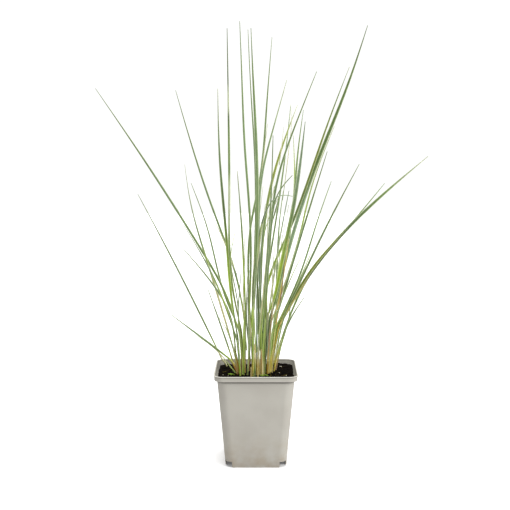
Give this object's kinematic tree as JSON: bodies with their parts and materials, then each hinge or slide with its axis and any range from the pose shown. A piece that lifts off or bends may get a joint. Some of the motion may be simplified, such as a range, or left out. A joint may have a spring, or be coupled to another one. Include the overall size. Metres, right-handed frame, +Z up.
{
  "type": "potted ornamental grass clump",
  "caption": "Clump of narrow blue-green ornamental grass, stiffly upright and fanning out, growing in a square tapered plastic nursery pot of peat.",
  "frame": {"origin": "middle of the pot's base, on the ground", "axes": "+Z up, -Y towards the front, +X to the right"},
  "size_m": [0.363, 0.245, 0.483],
  "materials": {
    "pot_plastic": "satin",
    "peat": "matte",
    "moss": "matte",
    "sheath": "satin",
    "green_leaf": "satin",
    "dry_leaf": "matte"
  },
  "bodies": {
    "root": {"pot": "pot_plastic", "potting_soil": "peat", "moss_front": "moss", "moss_left": "moss", "shoot_01": "sheath", "shoot_02": "sheath", "shoot_03": "sheath", "shoot_04": "sheath", "shoot_05": "sheath", "shoot_06": "sheath", "shoot_07": "sheath", "shoot_08": "sheath", "shoot_09": "sheath", "shoot_10": "sheath", "shoot_11": "sheath", "shoot_12": "sheath", "shoot_13": "sheath", "shoot_14": "sheath", "shoot_15": "sheath", "shoot_16": "sheath", "leaf_01": "green_leaf", "leaf_02": "green_leaf", "leaf_03": "green_leaf", "leaf_04": "green_leaf", "leaf_05": "green_leaf", "leaf_06": "green_leaf", "leaf_07": "green_leaf", "leaf_08": "green_leaf", "leaf_09": "green_leaf", "leaf_10": "green_leaf", "leaf_11": "green_leaf", "leaf_12": "green_leaf", "leaf_13": "green_leaf", "leaf_14": "green_leaf", "leaf_15": "green_leaf", "leaf_16": "green_leaf", "leaf_17": "green_leaf", "leaf_18": "green_leaf", "leaf_19": "green_leaf", "leaf_20": "green_leaf", "leaf_21": "green_leaf", "leaf_22": "green_leaf", "leaf_23": "green_leaf", "leaf_24": "green_leaf", "leaf_25": "green_leaf", "leaf_26": "green_leaf", "leaf_27": "green_leaf", "leaf_28": "green_leaf", "leaf_29": "green_leaf", "leaf_30": "green_leaf", "leaf_31": "green_leaf", "leaf_32": "green_leaf", "leaf_33": "green_leaf", "leaf_34": "green_leaf", "leaf_35": "green_leaf", "leaf_36": "dry_leaf", "leaf_37": "green_leaf", "leaf_38": "green_leaf", "leaf_39": "green_leaf", "leaf_40": "green_leaf"}
  },
  "joints": []
}
